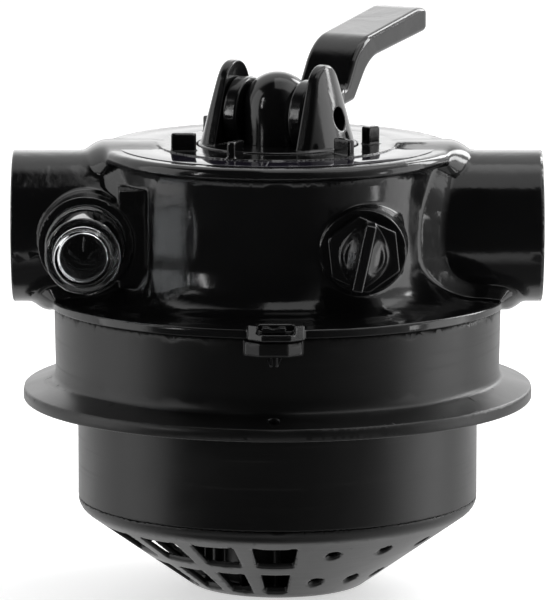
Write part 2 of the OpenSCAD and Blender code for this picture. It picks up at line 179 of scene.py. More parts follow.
def outline(corners):
    """The signed distance in a plane to an outline of corners (x, y, radius), with exact arcs."""
    sharp = np.array([c[:2] for c in corners], float)
    ends, arcs = [], []
    turning = np.sum(sharp[:, 0] * np.roll(sharp[:, 1], -1) - np.roll(sharp[:, 0], -1) * sharp[:, 1])
    for i, b in enumerate(sharp):
        r = corners[i][2]
        a, c = sharp[i - 1], sharp[(i + 1) % len(sharp)]
        if r == 0:
            ends.append((b, b))
            continue
        u, w = (a - b) / np.linalg.norm(a - b), (c - b) / np.linalg.norm(c - b)
        half = math.acos(np.clip(u @ w, -1, 1)) / 2
        middle = (u + w) / np.linalg.norm(u + w)
        convex = (u[1] * w[0] - u[0] * w[1]) * turning > 0
        ends.append((b + u * r / math.tan(half), b + w * r / math.tan(half)))
        arcs.append((b + middle * r / math.sin(half), -middle, r, math.sin(half), 1 if convex else -1))
    lines = [(ends[i][1], ends[(i + 1) % len(ends)][0]) for i in range(len(ends))]

    def distance(x, y):
        nearest = np.full(x.shape, np.inf, np.float32)
        inside = np.zeros(x.shape, bool)
        for (ax, ay), (bx, by) in lines:
            ex, ey = bx - ax, by - ay
            if ex * ex + ey * ey < 1e-9:
                continue
            wx, wy = x - ax, y - ay
            t = np.clip((wx * ex + wy * ey) / (ex * ex + ey * ey), 0, 1)
            nearest = np.minimum(nearest, (wx - t * ex) ** 2 + (wy - t * ey) ** 2)
        for (ax, ay), (bx, by) in zip(sharp, np.roll(sharp, -1, axis=0)):
            if ay != by:
                inside ^= ((ay > y) != (by > y)) & (x < (bx - ax) * (y - ay) / (by - ay) + ax)
        signed = np.where(inside, -1, 1) * np.sqrt(nearest)
        for (cx, cy), (mx, my), r, spread, side in arcs:
            wx, wy = x - cx, y - cy
            far = np.hypot(wx, wy)
            facing = wx * mx + wy * my >= spread * far
            bend = far - r
            closer = facing & (np.abs(bend) <= np.abs(signed))
            signed = np.where(closer, side * bend, signed)
        return signed

    return distance


# ---- Meshes ---------------------------------------------------------------------------------------


def add_faces(mesh, points, loops, starts):
    """Fill a mesh from points in millimetres and the loops of its faces."""
    mesh.vertices.add(len(points))
    mesh.vertices.foreach_set("co", (points * MM).astype(np.float32).ravel())
    mesh.loops.add(len(loops))
    mesh.loops.foreach_set("vertex_index", loops.astype(np.int32))
    mesh.polygons.add(len(starts))
    mesh.polygons.foreach_set("loop_start", starts.astype(np.int32))
    mesh.update(calc_edges=True)
    mesh.validate()


def gradient(field, points, reach):
    """The field's slope at each point, from differences over that reach."""
    parts = []
    for step in np.eye(3, dtype=np.float32) * reach:
        parts.append(field(*(points + step).T) - field(*(points - step).T))
    return np.stack(parts, axis=1) / (2 * reach)


def placed(name, data):
    """A new object for a mesh, camera or light, in the scene."""
    obj = bpy.data.objects.new(name, data)
    bpy.context.scene.collection.objects.link(obj)
    return obj


def in_chunks(field, size=60000):
    """The same field, worked out a cache-sized stretch at a time."""

    def run(x, y, z):
        if len(x) <= size:
            return field(x, y, z).astype(np.float32)
        made = np.empty(len(x), np.float32)
        for i in range(0, len(x), size):
            made[i:i + size] = field(x[i:i + size], y[i:i + size], z[i:i + size])
        return made

    return run


COARSE = 6
NARROW_BAND = 3


def sampled(field, low, count, cell):
    """The field on a grid: cell by cell near the surface, one value to a coarse block elsewhere."""
    axes = [(a + cell * np.arange(n)).astype(np.float32) for a, n in zip(low, count)]
    centres = [ax.reshape(-1, COARSE).mean(axis=1) for ax in axes]
    grid = np.meshgrid(*centres, indexing="ij")
    rough = field(*[g.ravel() for g in grid]).reshape(grid[0].shape)
    values = np.repeat(np.repeat(np.repeat(rough, COARSE, 0), COARSE, 1), COARSE, 2)
    near = np.argwhere(np.abs(rough) < cell * (COARSE + 1) * 0.95)
    inner = np.stack(np.meshgrid(*[np.arange(COARSE)] * 3, indexing="ij"), -1).reshape(-1, 3)
    for part in np.array_split(near, max(1, len(near) // 2000)):
        index = (part[:, None, :] * COARSE + inner[None]).reshape(-1, 3)
        places = [axes[k][index[:, k]] for k in range(3)]
        values[index[:, 0], index[:, 1], index[:, 2]] = field(*places)
    return values


def settled(field, points, cell):
    """The points moved on to the field's zero surface."""
    for _ in range(3):
        g = gradient(field, points, 0.05)
        step = field(*points.T) / np.maximum((g * g).sum(axis=1), 0.3)
        points -= np.clip(step, -cell / 2, cell / 2)[:, None] * g
    return points


def facing_out(points, quads, normals):
    """Whether most quads already wind the way that the normals point."""
    a, b, c = (points[quads[:, k]] for k in range(3))
    agree = np.einsum("ij,ij->i", np.cross(b - a, c - a), normals[quads[:, 0]])
    return np.median(agree) >= 0


def sculpt(name, shape, low, high, cell, adapt=0.0):
    """The zero surface of a field as a mesh whose points lie on it, with its true normals."""
    field = in_chunks(shape)
    low, high = np.asarray(low, float) - 2 * cell, np.asarray(high, float) + 2 * cell
    count = [int(math.ceil((b - a) / (cell * COARSE))) * COARSE for a, b in zip(low, high)]
    values = sampled(field, low, count, cell) / cell
    volume = openvdb.FloatGrid(float(cell * NARROW_BAND))
    volume.copyFromArray(np.clip(values, -NARROW_BAND, NARROW_BAND))
    points, triangles, quads = volume.convertToPolygons(isovalue=0.0, adaptivity=adapt)
    points = settled(field, (points * cell + low).astype(np.float32), cell)
    normals = gradient(field, points, 0.3)
    normals /= np.maximum(np.linalg.norm(normals, axis=1), 1e-9)[:, None]
    if not facing_out(points, quads, normals):
        quads, triangles = quads[:, ::-1], triangles[:, ::-1]
    loops = np.concatenate([quads.ravel(), triangles.ravel()])
    starts = np.concatenate([np.arange(len(quads)) * 4, len(quads) * 4 + np.arange(len(triangles)) * 3])
    mesh = bpy.data.meshes.new(name)
    add_faces(mesh, points, loops, starts)
    mesh.polygons.foreach_set("use_smooth", [True] * len(mesh.polygons))
    if len(mesh.vertices) == len(points):
        mesh.normals_split_custom_set_from_vertices(normals.tolist())
    return placed(name, mesh)


# ---- Port body ------------------------------------------------------------------------------------

drum_outline = outline([
    [-20, DRUM_FOOT, 0], [DRUM_FOOT_R, DRUM_FOOT, 0.5], [DRUM_FOOT_R, BASE_Z, 0.6],
    [SKIRT_IN, BASE_Z, 0.6], [SKIRT_IN, SKIRT_FOOT, 0.5], [SKIRT_OUT, SKIRT_FOOT, 0.5],
    [SKIRT_OUT, BASE_Z, 0.4], [RIM_R, BASE_Z, 0.5], [RIM_R, BASE_Z + 3.8, 1.2],
    [93.5, BASE_Z + 4.8, 0], [DRUM_R + 0.3, BASE_Z + 6, 19], [DRUM_R, LIP_Z - 1.4, 1.5],
    [LIP_R, LIP_Z, 0.9], [LIP_R, FACE_Z, 3.4], [DISC_R, FACE_Z, 0], [DISC_R, DISC_Z, 0.2],
    [-20, DISC_Z, 0]])
chamber_outline = outline([
    [-20, 100, 0], [66, 100, 0], [66, 180, 3], [62, 184, 3], [24, 184, 1], [24, 168, 1], [-20, 168, 0]])
tab_outline = outline([
    [-12.5, -94, 0], [-12.5, -103, 0.8], [-6.5, -108, 0.8], [5.5, -108, 0.8], [11.5, -103, 0.8],
    [11.5, -94, 0]])
PORT_ROOT = 55.0
SEAM_H = 0.22
SEAM_OFFSET = 9.4
PORT_LIP_EDGE = 0.9
PAD = ((-68, -47, 137.5), (-56, -25, 180))
GLASS_BOSS_R = 20.5
GLASS_BOSS_REACH = 48.0
GLASS_SEAL_R = 17.8
GLASS_BORES = ((7.5, 15), (14.1, 40))
PLUG_BOSS_R = 18.9
PLUG_BOSS_REACH = 71.0
PLUG_BORES = ((10.5, 50), (14, 68.8))
STEM_BORE_R = 11.08
TAB_H = 6.6
POST_AZIMUTHS = [math.radians(a) for a in (128, 247, 308)]
POST_H = 7.0
TALL_POST_H = 7.7
POST_EDGE = 0.9


def with_ports(d, x, y, z):
    """Three ports, with faint mould lines on the side ones and a bevelled web round each root."""
    rise = z - PORT_Z
    wide, deep = np.hypot(y, rise), np.hypot(x, rise)
    seam = SEAM_H * np.exp(-(((np.abs(rise - 1.0) - SEAM_OFFSET) / 0.5) ** 2))
    side_ports = disc(wide - seam, np.abs(x), PORT_R - SEAM_H, PORT_ROOT, PORT_REACH, PORT_LIP_EDGE)
    rear_port = disc(deep, y, PORT_R, PORT_ROOT, PORT_REACH, PORT_LIP_EDGE)
    ports = union(side_ports, rear_port)
    return union(union(d, ports, 1.5), (d + ports - PORT_WEB) * 0.7, 1.2)


def with_front_bosses(d, x, y, z):
    """The sight glass boss with the pad behind it, and the slowly tapering plug boss."""
    glass_r = np.hypot(x - GLASS_X, z - GLASS_Z)
    d = union(d, disc(glass_r, -y, GLASS_BOSS_R, 18, GLASS_BOSS_REACH, 0.6), 2.5)
    d = union(d, block(x, y, z, *PAD, 0.9), 1.2)
    plug_r = np.hypot(x - PLUG_X, z - PLUG_Z)
    taper = (-y - 60) * 0.06
    return union(d, disc(plug_r + taper, -y, PLUG_BOSS_R, 50, PLUG_BOSS_REACH, 0.7), 2.5)


def with_posts(d, x, y, z):
    """The index posts on the raised disc: three low ones, a long tall one and a turned tall one."""
    foot = DISC_Z - 2
    for azimuth in POST_AZIMUTHS:
        u, v = turned_about(x, y, azimuth)
        post = block(u, v, z, (41.1, -1.8, foot), (51.5, 1.8, DISC_Z + POST_H), POST_EDGE)
        d = union(d, post, 0.8)
    top = DISC_Z + TALL_POST_H
    d = union(d, block(x, y, z, (-45.8, -24.5, foot), (-35, -20.9, top), POST_EDGE), 0.8)
    u, v = turned_about(x - 39.4, y + 5.2, math.radians(40))
    return union(d, block(u, v, z, (0, 0, foot), (6.8, 5, top), POST_EDGE), 0.8)


def with_tab(d, x, y, z):
    """The tab on the rim's front, with the lock pin's recess and hole."""
    d = union(d, rounded_pair(tab_outline(x, y), slab(z, BASE_Z, BASE_Z + TAB_H), 0.7), 0.8)
    d = carve(d, block(x, y, z, (-8, -112, BASE_Z + 3.2), (7, -100, BASE_Z + 8.2), 0.8), 0.7)
    return carve(d, np.hypot(x - PIN_X, y - PIN_Y) - PIN_HOLE_R, 0.3)


def with_ways(d, x, y, z):
    """The rotor chamber, the stem's bore, the yoke's recess, and the ways into ports and bosses."""
    r = np.hypot(x, y)
    rise = z - PORT_Z
    wide, deep = np.hypot(y, rise), np.hypot(x, rise)
    socket_foot = PORT_REACH - SOCKET_DEPTH
    d = carve(d, chamber_outline(r, z), 0.5)
    d = carve(d, disc(r, z, STEM_BORE_R, 160, 210), 0.6)
    d = carve(d, disc(r, z, RECESS_R, RECESS_Z, 210, 0.6), 0.8)
    side = disc(wide, np.abs(x), SOCKET_R, socket_foot, 140, 0.6)
    side = union(side, disc(wide, np.abs(x), PIPE_R, 75, 100, 0.6))
    side = union(side, block(np.abs(x), y, z, (75, -17, 100), (84, 17, PORT_Z), 1.0))
    rear = disc(deep, y, SOCKET_R, socket_foot, 140, 0.6)
    rear = union(rear, disc(deep, y, PIPE_R, 50, 100, 0.6))
    d = carve(d, union(side, rear), 0.8)
    glass_r = np.hypot(x - GLASS_X, z - GLASS_Z)
    d = carve(d, union(*[disc(glass_r, -y, bore, foot, 60) for bore, foot in GLASS_BORES]), 0.6)
    d = carve(d, disc(glass_r, -y, GLASS_SEAL_R, GLASS_BOSS_REACH, 60, 0.2), 0.3)
    plug_r = np.hypot(x - PLUG_X, z - PLUG_Z)
    return carve(d, union(*[disc(plug_r, -y, bore, foot, 90) for bore, foot in PLUG_BORES]), 0.6)


def port_body_field(x, y, z):
    """The turned drum with everything that stands on it, hollowed last."""
    d = drum_outline(np.hypot(x, y), z)
    for step in (with_ports, with_front_bosses, with_posts, with_tab, with_ways):
        d = step(d, x, y, z)
    return d


# ---- Handle group, in the lever's own plane: u runs along the lever and v across it ----------------

DOME_Z = 210.5
DOME_R = 15.0
STEM_FOOT = 191.6
ARM_IN = 12.35
ARM_OUT = 19.0
EAR_IN = 19.4
EAR_FOOT_R = 34.1
EAR_FOOT = 22.5
EAR_LEAN = 10.1 / 39.05
CROWN_R = 12.5
CROWN_Z = 217.0
YOKE_Z = RECESS_Z + 0.55
YOKE_TOP = 194.6
YOKE_R = RECESS_R - 0.5
FORK_R = 16.0
FORK_FOOT = 195.1
LEVER_REACH = 134.0
LEVER_HALF = 12.25
LEVER_WALL = 3
YOKE_BORE_R = 15.4
PIN_ACCESS_R = 5
LEVER_BORE_R = 4.1
STEM_PIN_BORE_R = 4.02
O_RING_GROOVES = (173.6, 178.8)
GROOVE_R = 9.4
GROOVE_WIDTH = 2.8


def in_lever_frame(field):
    """A field of u, v and z, as one of x, y and z."""
    return lambda x, y, z: field(*turned_about(x, y, LEVER_AZIMUTH), z)


def ear_apex(foot, top, radius, centre):
    """Where the two flanks of an ear would meet, above a crown of that radius."""
    rise = centre - top
    lean = math.atan2(rise, -foot) - math.asin(radius / math.hypot(foot, rise))
    return top - foot * math.tan(lean)


ear_outline = outline([[EAR_FOOT, YOKE_Z + 0.5, 0], [EAR_FOOT, YOKE_TOP, 3],
                       [0, ear_apex(EAR_FOOT, YOKE_TOP, CROWN_R, CROWN_Z), CROWN_R],
                       [-EAR_FOOT, YOKE_TOP, 3], [-EAR_FOOT, YOKE_Z + 0.5, 0]])


def yoke_field(u, v, z):
    """A ring with two ears, each a gable with a round crown that leans in with a cone."""
    across = np.abs(v)
    r = np.hypot(u, v)
    cone = (r - EAR_FOOT_R + np.maximum(z - YOKE_Z - 1, 0) * EAR_LEAN) / math.hypot(1, EAR_LEAN)
    ear = rounded_pair(rounded_pair(ear_outline(u, z), cone, 1.6), EAR_IN - across, 0.8)
    d = union(disc(r, z, YOKE_R, YOKE_Z, YOKE_TOP, 0.8), ear, 1.0)
    d = carve(d, r - YOKE_BORE_R, 0.8)
    access = np.hypot(u, z - STEM_PIN_Z) - PIN_ACCESS_R
    return carve(d, np.maximum(access, EAR_IN - 2 - across), 0.9)


# the lever from the side, from above, and the hollow in its underside
lever_outline = outline([
    [0, FORK_FOOT, 0], [19, FORK_FOOT, 2], [26.5, 204, 3], [53.5, 207.2, 3], [69.1, 223.9, 26],
    [LEVER_REACH, 230.6, 3], [LEVER_REACH, 239.9, 4.5], [LEVER_REACH - 12, 241.1, 20], [59.3, 233.1, 26.8],
    [45.2, 213.4, 6], [26, 213, 10], [9, 219.7, 0], [0, STEM_PIN_Z, 0]])
lever_plan = outline([
    [-FORK_R - 1, ARM_IN, 0], [-FORK_R - 1, ARM_OUT, 0], [24, ARM_OUT, 5], [41, LEVER_HALF, 8],
    [LEVER_REACH, LEVER_HALF, 8], [LEVER_REACH, -LEVER_HALF, 8], [41, -LEVER_HALF, 8], [24, -ARM_OUT, 5],
    [-FORK_R - 1, -ARM_OUT, 0], [-FORK_R - 1, -ARM_IN, 0], [17.5, -ARM_IN, 1.5], [17.5, ARM_IN, 1.5]])
lever_core = outline([[42, 190, 0], [42, 209.6, 1], [47.5, 211.4, 3], [54.5, 221.2, 6], [62, 228.2, 6],
                      [72, 231.5, 10], [LEVER_REACH - 12, 237.9, 0], [LEVER_REACH - 4, 237, 2],
                      [LEVER_REACH - 4, 190, 0]])


def handle_field(u, v, z):
    """The fork round the stem pin and the cranked lever, one moulding."""
    fork = common(np.hypot(u, z - STEM_PIN_Z) - FORK_R, FORK_FOOT - z, 0.8)
    side = union(fork, lever_outline(u, z), 0.8)
    edge = 1.1 + 1.3 * np.clip((u - 22) / 16, 0, 1)
    d = rounded_pair(side, lever_plan(u, v), edge)
    d = carve(d, rounded_pair(lever_core(u, z), np.abs(v) - LEVER_HALF + LEVER_WALL, 1.0), 0.8)
    return carve(d, np.hypot(u, z - STEM_PIN_Z) - LEVER_BORE_R, 0.7)


def stem_field(u, v, z):
    """A domed head with two flats between the fork's arms, on a shaft with two O-ring grooves."""
    r = np.hypot(u, v)
    dome = disc(r, z, DOME_R, STEM_FOOT, DOME_Z + 1, 0.8)
    dome = union(dome, np.hypot(r, z - DOME_Z) - DOME_R)
    d = common(dome, np.abs(v) - ARM_IN + 0.35, 1.2)
    d = union(d, disc(r, z, STEM_R, 130, STEM_FOOT + 2, 0.5), 0.6)
    for foot in O_RING_GROOVES:
        groove = rounded_pair(slab(r, GROOVE_R, 14), slab(z, foot, foot + GROOVE_WIDTH), 0.3)
        d = carve(d, groove, 0.3)
    return carve(d, np.hypot(u, z - STEM_PIN_Z) - STEM_PIN_BORE_R, 0.5)


# ---- Plug and lock pin ----------------------------------------------------------------------------


HEX_TILT = 6
HEX_HALF = 14.5
HEAD_SPAN = (71.35, 79.95)
COLLAR_R = 10.4
COLLAR_TOP = 83.8
WING_TILT = math.radians(12)
WING_HALF = 14.5
WING_TOP = 91
SHANK_R = 10.44
SHANK_SPAN = (56.5, 73)
THREAD_H = 0.45
PIN_R = 2.3
PIN_FOOT = 113.8
BARB_SPAN = (113.6, 117.7)


def hexagon(u, v, half, tilt):
    """A hexagon's distance, from half the width across its flats and a tilt in degrees."""
    d = np.full(u.shape, -100.0, np.float32)
    for k in range(3):
        a = math.radians(60 * k + tilt)
        d = np.maximum(d, np.abs(u * math.cos(a) + v * math.sin(a)) - half)
    return d


def plug_field(x, y, z):
    """A hexagonal head, a stepped collar, a wing with hollow flanks, and a threaded shank."""
    u, v, w = x - PLUG_X, z - PLUG_Z, -y
    r = np.hypot(u, v)
    head = rounded_pair(hexagon(u, v, HEX_HALF, HEX_TILT), slab(w, *HEAD_SPAN), 0.8)
    head = common(head, r - 16.6 + np.maximum(w - 79.2, 0) * 1.2, 0.4)
    collar = rounded_pair(r - COLLAR_R + np.clip(w - 79.8, 0, 4) * 0.5, slab(w, 76, COLLAR_TOP), 0.8)
    d = union(head, collar, 1.4)
    p, q = turned_about(u, v, -WING_TILT)
    flank = 8.6 * np.clip((90.5 - w) / 11, 0, 1) ** 1.3 * np.clip(1 - (q / 13.8) ** 2, 0, 1)
    plate = rounded_pair(slab(q, -WING_HALF, WING_HALF), slab(w, 76, WING_TOP), 1.0)
    d = union(d, rounded_pair(np.abs(p) - 2.3 - flank, plate, 1.0) * 0.7, 0.5)
    turns = (w - np.arctan2(v, u) / FULL_TURN * PLUG_PITCH) / PLUG_PITCH
    thread = THREAD_H * np.abs(turns % 1 - 0.5) * 2
    return union(d, disc(r + thread, w, SHANK_R, *SHANK_SPAN, 0.8), 0.3)


def lock_pin_field(x, y, z):
    """A small head in the tab's recess, and a split shaft with barbs under the neck's tab."""
    u, v = x - PIN_X, y - PIN_Y
    head = block(u, v, z, (-5.2, -3, BASE_Z + 3.3), (5.2, 2.2, BASE_Z + 5.9), 0.7)
    head = carve(head, np.hypot(u, z - BASE_Z - 8.6) - 3.4, 0.5)
    shaft = disc(np.hypot(u, v), z, PIN_R, PIN_FOOT, BASE_Z + 4, 0.3)
    shaft = carve(shaft, block(u, v, z, (-0.6, -5, 100), (0.6, 5, 122), 0.1))
    barb = slab(np.abs(u) - np.clip(3.4 - (BARB_SPAN[1] - z) * 0.45, 0, 4), -3.2, 0)
    barb = np.maximum.reduce([barb, np.abs(v) - 1.6, slab(z, *BARB_SPAN), 0.7 - np.abs(u)])
    return union(head, union(shaft, barb, 0.2), 0.5)


# ---- Neck and diffuser ----------------------------------------------------------------------------

NECK_TAB_SPAN = (118, 124.3)
FLANGE_GROOVE = (99, 103)
FLANGE_GROOVE_DEPTH = 2.4
neck_outline = outline([
    [LOWER_R - 4, PARTING_Z, 0.4], [LOWER_R, PARTING_Z, 0.5], [LOWER_R, FLANGE_Z, 1.2],
    [FLANGE_R, FLANGE_Z, 1.1], [FLANGE_R, FLANGE_TOP, 1.2],
    [NECK_R + 0.1, FLANGE_TOP + (FLANGE_R - NECK_R - 0.1) * math.tan(FLANGE_SLOPE), 3.5],
    [NECK_R + 0.7, NECK_TOP, 1.0], [91, NECK_TOP, 1.0], [91, 95, 2], [LOWER_R - 4, 86, 2]])
neck_tab_outline = outline([
    [-13.8, -90, 0], [-13.8, -102.5, 0.8], [-7.5, -107, 0.8], [4.5, -107, 0.8], [10.3, -102.5, 0.8],
    [10.3, -90, 0]])


def neck_field(x, y, z):
    """The lower cylinder, the clamp flange with its O-ring groove, the neck and its front tab."""
    r = np.hypot(x, y)
    d = neck_outline(r, z)
    tab = rounded_pair(neck_tab_outline(x, y), slab(z, *NECK_TAB_SPAN), 0.9)
    d = union(d, np.maximum(tab, 92 - r), 1.0)
    d = carve(d, np.hypot(x - PIN_X, y - PIN_Y) - PIN_HOLE_R, 0.2)
    groove = rounded_pair(slab(r, *FLANGE_GROOVE), slab(z, 80, FLANGE_Z + FLANGE_GROOVE_DEPTH), 0.3)
    return carve(d, groove, 0.3)


COLUMNS = 18
COLUMN_STEP = FULL_TURN / COLUMNS
WIDE_COLUMNS = 9
FIRST_COLUMN = math.radians(-90.8)
RIB_STEP = math.radians(30)
SLOPE = math.radians(35.5)
FOOT_R = 37.2
HUB_R = 28.0
HUB_TOP = 52
RISER_R = 24.35
SEAL_GROOVE_R = 26.6
SEAL_GROOVE = (31, 34.4)
HOLE_R = 3.2
WALL_IN = 83.1
LEDGE_IN = 80.1
WINDOWS = ((63.5, 79.0, 7.0), (41.5, 57.0, 6.2))
HOLES = (50.0, 72.5)
diffuser_outline = outline([
    [22, 0, 0], [FOOT_R, 0, 8], [LOWER_R, (LOWER_R - FOOT_R) * math.tan(SLOPE), 7.5],
    [LOWER_R, PARTING_Z, 0.4], [WALL_IN, PARTING_Z, 0.3], [WALL_IN, 50, 0.4], [LEDGE_IN, 50, 0.4],
    [LEDGE_IN, 32.9, 4.5], [36.1, 3, 5], [22, 3, 0]])


def diffuser_openings(r, azimuth):
    """Two rows of windows in half of the columns, and two round holes in each of the others."""
    column = np.round((FIRST_COLUMN - azimuth) / COLUMN_STEP)
    turn = FIRST_COLUMN - azimuth - column * COLUMN_STEP
    p, q = r * np.cos(turn), r * np.sin(turn)
    windows = np.full(r.shape, 50.0, np.float32)
    for inner, outer, half in WINDOWS:
        side = np.abs(q) - p * math.tan(math.radians(half))
        windows = np.minimum(windows, rounded_pair(side * 0.99, slab(p, inner, outer), 1.0))
    holes = np.minimum(np.hypot(p - HOLES[0], q), np.hypot(p - HOLES[1], q)) - HOLE_R
    return np.where(column % COLUMNS < WIDE_COLUMNS, windows, holes)


def diffuser_field(x, y, z):
    """A cup with a sloping foot full of openings, a hub for the riser pipe, and ribs on the hub."""
    r = np.hypot(x, y)
    azimuth = np.arctan2(y, x)
    d = union(diffuser_outline(r, z), disc(r, z, HUB_R, 0, HUB_TOP, 0.6), 1.5)
    d = np.maximum(d, -z)
    rib = azimuth - np.round(azimuth / RIB_STEP) * RIB_STEP
    d = union(d, block(r * np.cos(rib), r * np.sin(rib), z, (24, -1, 1), (32, 1, 46), 0.5), 0.8)
    openings = np.maximum(diffuser_openings(r, azimuth), np.abs(z - 16) - 28)
    d = carve(d, openings, 0.9)
    d = carve(d, r - RISER_R, 0.6)
    return carve(d, rounded_pair(slab(r, 20, SEAL_GROOVE_R), slab(z, *SEAL_GROOVE), 0.3), 0.3)


# ---- Turned pieces --------------------------------------------------------------------------------


def rounded(corners, steps=5):
    """An outline's points, from corners (x, y, radius), with each arc in short steps."""
    made = []
    for i, (x, y, r) in enumerate(corners):
        b = np.array([x, y], float)
        if r == 0:
            made.append(b)
            continue
        a, c = np.array(corners[i - 1][:2], float), np.array(corners[(i + 1) % len(corners)][:2], float)
        u, w = (a - b) / np.linalg.norm(a - b), (c - b) / np.linalg.norm(c - b)
        half = math.acos(np.clip(u @ w, -1, 1)) / 2
        centre = b + (u + w) / np.linalg.norm(u + w) * r / math.sin(half)
        start, end = b + u * r / math.tan(half) - centre, b + w * r / math.tan(half) - centre
        a0 = math.atan2(start[1], start[0])
        turn = (math.atan2(end[1], end[0]) - a0 + 3 * math.pi) % (2 * math.pi) - math.pi
        for k in range(steps + 1):
            angle = a0 + turn * k / steps
            made.append(centre + r * np.array([math.cos(angle), math.sin(angle)]))
    return made


def turned(name, corners, segments=160, place=Matrix.Identity(4), sharp=40):
    """A body of revolution about local Z, from its closed outline of (radius, height, corner radius)."""
    section = rounded(corners)
    n = len(section)
    axis_points = [i for i, p in enumerate(section) if p[0] < 1e-6]
    points, index = [], {}
    for i, (r, z) in enumerate(section):
        turns = 1 if i in axis_points else segments
        for k in range(turns):
            a = 2 * math.pi * k / segments
            index[i, k] = len(points)
            points.append(place @ Vector((r * math.cos(a), r * math.sin(a), z)))

    def at(i, k):
        return index[i, 0] if i in axis_points else index[i, k % segments]

    faces = []
    for i in range(n):
        j = (i + 1) % n
        if i in axis_points and j in axis_points:
            continue
        for k in range(segments):
            ring = [at(i, k), at(i, k + 1), at(j, k + 1), at(j, k)]
            faces.append(tuple(dict.fromkeys(ring)))
    mesh = bpy.data.meshes.new(name)
    mesh.from_pydata([tuple(p * MM) for p in points], [], faces)
    mesh.update()
    work = bmesh.new()
    work.from_mesh(mesh)
    bmesh.ops.recalc_face_normals(work, faces=work.faces[:])
    work.to_mesh(mesh)
    work.free()
    mesh.polygons.foreach_set("use_smooth", [True] * len(mesh.polygons))
    mesh.set_sharp_from_angle(angle=math.radians(sharp))
    return placed(name, mesh)


def on_front(x, z):
    """Local Z points out of the front, from the valve's centre plane."""
    return Matrix.Translation((x, 0, z)) @ Matrix.Rotation(math.radians(90), 4, "X")


# ---- Materials ------------------------------------------------------------------------------------


class Graph:
    """Short ways to add nodes to one material."""

    def __init__(self, name):
        self.material = bpy.data.materials.new(name)
        self.material.use_nodes = True
        self.tree = self.material.node_tree
        self.shader = self.tree.nodes["Principled BSDF"]
        self.place = self.tree.nodes.new("ShaderNodeTexCoord").outputs["Object"]

    def link(self, a, b):
        """Join an output to an input."""
        self.tree.links.new(a, b)

    def scaled(self, x, y, z):
        """The object's coordinates, times those factors."""
        node = self.tree.nodes.new("ShaderNodeMapping")
        node.inputs["Scale"].default_value = (x, y, z)
        self.link(self.place, node.inputs["Vector"])
        return node.outputs["Vector"]

    def noise(self, scale, detail=2.0, rough=0.5, at=None, twist=0.0):
        """Noise from 0 to 1, in the object's coordinates unless told where."""
        node = self.tree.nodes.new("ShaderNodeTexNoise")
        node.inputs["Scale"].default_value = scale
        node.inputs["Detail"].default_value = detail
        node.inputs["Roughness"].default_value = rough
        node.inputs["Distortion"].default_value = twist
        self.link(at or self.place, node.inputs["Vector"])
        return node.outputs["Fac"]

    def spread(self, value, low, high, out_low=0.0, out_high=1.0):
        """The value's range from low to high, stretched to the output's range and clamped."""
        node = self.tree.nodes.new("ShaderNodeMapRange")
        for socket, number in zip(node.inputs[1:5], (low, high, out_low, out_high)):
            socket.default_value = number
        self.link(value, node.inputs["Value"])
        return node.outputs["Result"]

    def maths(self, kind, a, b=None):
        """One sum on numbers or sockets."""
        node = self.tree.nodes.new("ShaderNodeMath")
        node.operation = kind
        for socket, value in zip(node.inputs, (a, b)):
            if isinstance(value, (int, float)):
                socket.default_value = value
            elif value is not None:
                self.link(value, socket)
        return node.outputs[0]

    def blend(self, factor, a, b):
        """Colour a where the factor is 0, colour b where it is 1."""
        node = self.tree.nodes.new("ShaderNodeMix")
        node.data_type = "RGBA"
        for socket, value in zip((node.inputs[0], node.inputs[6], node.inputs[7]), (factor, a, b)):
            if isinstance(value, (tuple, list)):
                socket.default_value = (*value, 1)
            elif isinstance(value, (int, float)):
                socket.default_value = value
            else:
                self.link(value, socket)
        return node.outputs[2]

    def bump(self, height, distance, strength=1.0, after=None):
        """Small relief, on top of an earlier one if there is one."""
        node = self.tree.nodes.new("ShaderNodeBump")
        node.inputs["Distance"].default_value = distance
        node.inputs["Strength"].default_value = strength
        self.link(height, node.inputs["Height"])
        if after is not None:
            self.link(after, node.inputs["Normal"])
        return node.outputs["Normal"]

    def edges(self, low, high):
        """1 on convex edges, 0 elsewhere."""
        node = self.tree.nodes.new("ShaderNodeNewGeometry")
        return self.spread(node.outputs["Pointiness"], low, high)

    def set(self, **sockets):
        """Give the shader's sockets their values, and hand back the material."""
        for name, value in sockets.items():
            socket = self.shader.inputs[name.replace("_", " ")]
            if hasattr(value, "links"):
                self.link(value, socket)
            elif isinstance(value, tuple) and len(value) == 3:
                socket.default_value = (*value, 1)
            else:
                socket.default_value = value
        return self.material


def gloss_black():
    """Polished moulded plastic: slow flow waves, fine orange peel, dust-fine scratches, and a painted
    highlight on convex edges.
    """
    g = Graph("gloss_black")
    flow = g.noise(38, 3, 0.5, twist=0.6)
    peel = g.noise(620, 2, 0.5)
    haze = g.noise(24, 5, 0.62, twist=1.2)
    scratch = g.noise(1.0, 3, 0.7, at=g.scaled(900, 90, 260))
    marks = g.spread(scratch, 0.66, 0.74)
    colour = g.blend(haze, (0.0030, 0.0030, 0.0032), (0.0050, 0.0050, 0.0052))
    # painted highlight: convex edges are lightened in the base colour, where the edge would catch light
    colour = g.blend(g.edges(0.53, 0.62), colour, (0.012, 0.012, 0.0125))
    rough = g.maths("ADD", g.spread(haze, 0.3, 0.72, 0.085, 0.19), g.maths("MULTIPLY", marks, 0.14))
    normal = g.bump(flow, 0.0011, 0.35)
    normal = g.bump(peel, 0.00006, 0.3, normal)
    normal = g.bump(marks, 0.00001, 0.35, normal)
    return g.set(Base_Color=colour, Roughness=rough, Normal=normal, IOR=1.52, Specular_IOR_Level=0.5)


